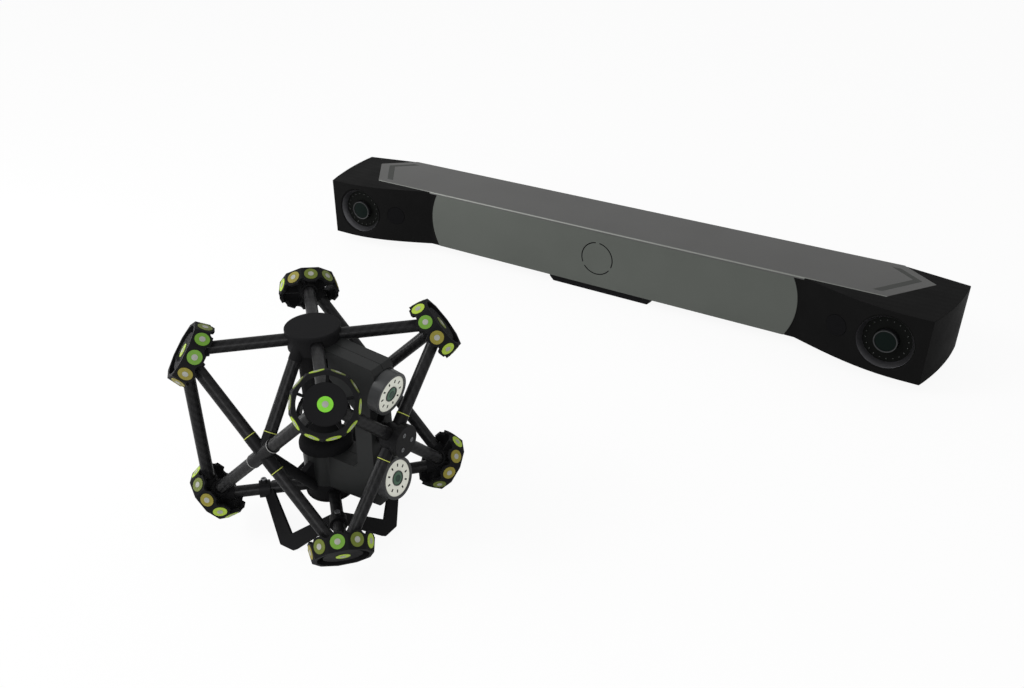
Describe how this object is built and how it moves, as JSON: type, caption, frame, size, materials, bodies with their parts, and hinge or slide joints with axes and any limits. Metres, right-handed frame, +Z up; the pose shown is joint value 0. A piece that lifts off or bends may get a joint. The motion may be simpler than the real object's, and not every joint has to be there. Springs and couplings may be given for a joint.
{
  "type": "three-d scanner",
  "caption": "Hand-held stereo scanner in a cage of marker heads on carbon tubes, with the long two-camera tracker bar that follows it.",
  "frame": {"origin": "centre of the tripod thread's mouth, on the underside of the tracker's mount plate", "axes": "+X along the tracker bar, +Y to its back (its cameras look along -Y), +Z up; the hand-held scanner stands in front of the bar with its cameras towards +X"},
  "size_m": [1.0544, 0.8621, 0.2466],
  "materials": {
    "black_plastic": "fine satin",
    "target_ring": "printed film",
    "target_dot": "retroreflective film",
    "carbon_tube": "carbon fibre weave under clear coat",
    "dark_metal": "black anodised",
    "band": "printed line",
    "screw": "satin",
    "core_metal": "machined",
    "grip_plastic": "soft satin",
    "key_plastic": "satin",
    "foot_metal": "powder coat",
    "barrel": "satin",
    "lamp_ring": "white diffuser",
    "lens_glass": "coated lens",
    "window_glass": "dark filter",
    "panel_grey": "satin lacquer",
    "plate_grey": "satin lacquer",
    "chevron_grey": "satin",
    "bezel": "satin",
    "board": "matt",
    "status": "unlit light guide",
    "socket": "satin"
  },
  "bodies": {
    "set": {"head_rear_left_top": "black_plastic", "head_rear_right_top": "black_plastic", "head_front_left_top": "black_plastic", "head_front_right_top": "black_plastic", "head_rear_left_bottom": "black_plastic", "head_rear_right_bottom": "black_plastic", "head_front_left_bottom": "black_plastic", "head_front_right_bottom": "black_plastic", "target_rings": "target_ring", "target_dots": "target_dot", "top_tubes": "carbon_tube", "bottom_tubes": "carbon_tube", "front_tubes": "carbon_tube", "cross_tubes": "carbon_tube", "rear_tubes": "carbon_tube", "side_struts": "carbon_tube", "side_arms": "dark_metal", "cross_joints": "dark_metal", "tube_bands": "band", "top_hub": "black_plastic", "top_hub_cap": "black_plastic", "bottom_hub": "black_plastic", "base_disc": "dark_metal", "front_hub": "dark_metal", "front_hub_cap": "dark_metal", "hub_screws": "screw", "housing_right_shell": "black_plastic", "housing_left_shell": "black_plastic", "grip_right_shell": "grip_plastic", "grip_left_shell": "grip_plastic", "grip_tube": "core_metal", "hand_collar": "grip_plastic", "camera_barrels": "barrel", "lamp_rings": "lamp_ring", "camera_lenses": "lens_glass", "laser_windows": "window_glass", "foot_right": "foot_metal", "foot_left": "foot_metal", "foot_front": "foot_metal", "foot_rear": "foot_metal", "foot_clips": "dark_metal", "tracker_body": "black_plastic", "tracker_right_end": "black_plastic", "tracker_left_end": "black_plastic", "front_panel": "panel_grey", "top_plate": "plate_grey", "top_chevrons": "chevron_grey", "rear_cover": "black_plastic", "camera_beam": "core_metal", "tracker_bezels": "bezel", "tracker_lamp_boards": "board", "tracker_lenses": "lens_glass", "round_windows": "window_glass", "status_ring": "status", "mount_plate": "foot_metal", "connector_sockets": "socket"},
    "trigger_body": {"scan_trigger": "key_plastic"},
    "upper_key_body": {"upper_key": "key_plastic"},
    "lower_key_body": {"lower_key": "key_plastic"},
    "power_button_body": {"power_button": "key_plastic"}
  },
  "joints": [
    {"name": "trigger_press", "type": "slide", "parent": "set", "child": "trigger_body", "axis": [-1, 0, 0], "range_m": [0, 0.0025], "stiffness_N_per_m": 1200, "springref_m": -0.001},
    {"name": "upper_key_press", "type": "slide", "parent": "set", "child": "upper_key_body", "axis": [1, 0, 0], "range_m": [0, 0.001], "stiffness_N_per_m": 1500, "springref_m": -0.0005},
    {"name": "lower_key_press", "type": "slide", "parent": "set", "child": "lower_key_body", "axis": [1, 0, 0], "range_m": [0, 0.001], "stiffness_N_per_m": 1500, "springref_m": -0.0005},
    {"name": "power_press", "type": "slide", "parent": "set", "child": "power_button_body", "axis": [0, -1, 0], "range_m": [0, 0.0012], "stiffness_N_per_m": 1500, "springref_m": -0.0005}
  ]
}
